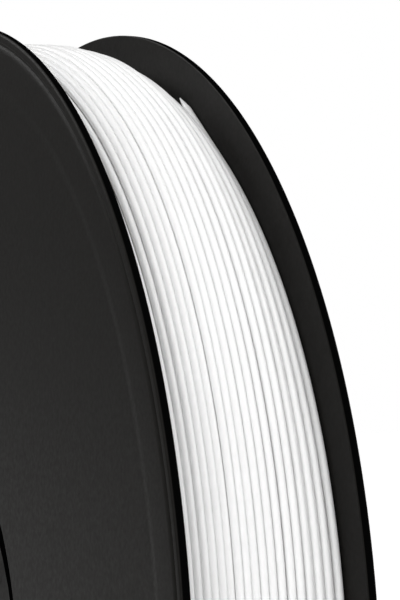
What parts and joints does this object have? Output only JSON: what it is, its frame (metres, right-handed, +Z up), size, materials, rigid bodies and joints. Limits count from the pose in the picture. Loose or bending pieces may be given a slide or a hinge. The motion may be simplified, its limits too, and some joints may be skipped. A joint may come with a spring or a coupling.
{
  "type": "filament spool",
  "caption": "Narrow spool with thin black flanges, a hub with a spindle bore, a twist-off side and a full winding of white round strand.",
  "frame": {"origin": "centre of the spindle bore, halfway between the two flanges", "axes": "-Y along the bore axis towards the near, removable flange; +Z up when the spool stands on its rims; +X to the right seen from the near side"},
  "size_m": [0.3, 0.04, 0.3],
  "materials": {
    "flange_plastic": "fine moulded texture, satin on the rims",
    "hub_plastic": "fine moulded texture",
    "cardboard": "brown spiral-wound board",
    "screw_steel": "zinc plated",
    "strand_plastic": "smooth white extruded strand"
  },
  "bodies": {
    "hub": {"hub_core": "hub_plastic", "far_flange": "flange_plastic", "far_flange_screws": "screw_steel", "refill_core": "cardboard", "filament_inner_winding": "strand_plastic", "filament_outer_layer": "strand_plastic", "filament_last_turn": "strand_plastic", "filament_tail": "strand_plastic"},
    "near_side": {"near_flange": "flange_plastic", "lock_ring": "hub_plastic", "near_flange_screws": "screw_steel"}
  },
  "joints": [
    {"name": "near_flange_twist", "type": "hinge", "parent": "hub", "child": "near_side", "pos_m": [0, 0, 0], "axis": [0, -1, 0], "range_deg": [0, 42]}
  ]
}
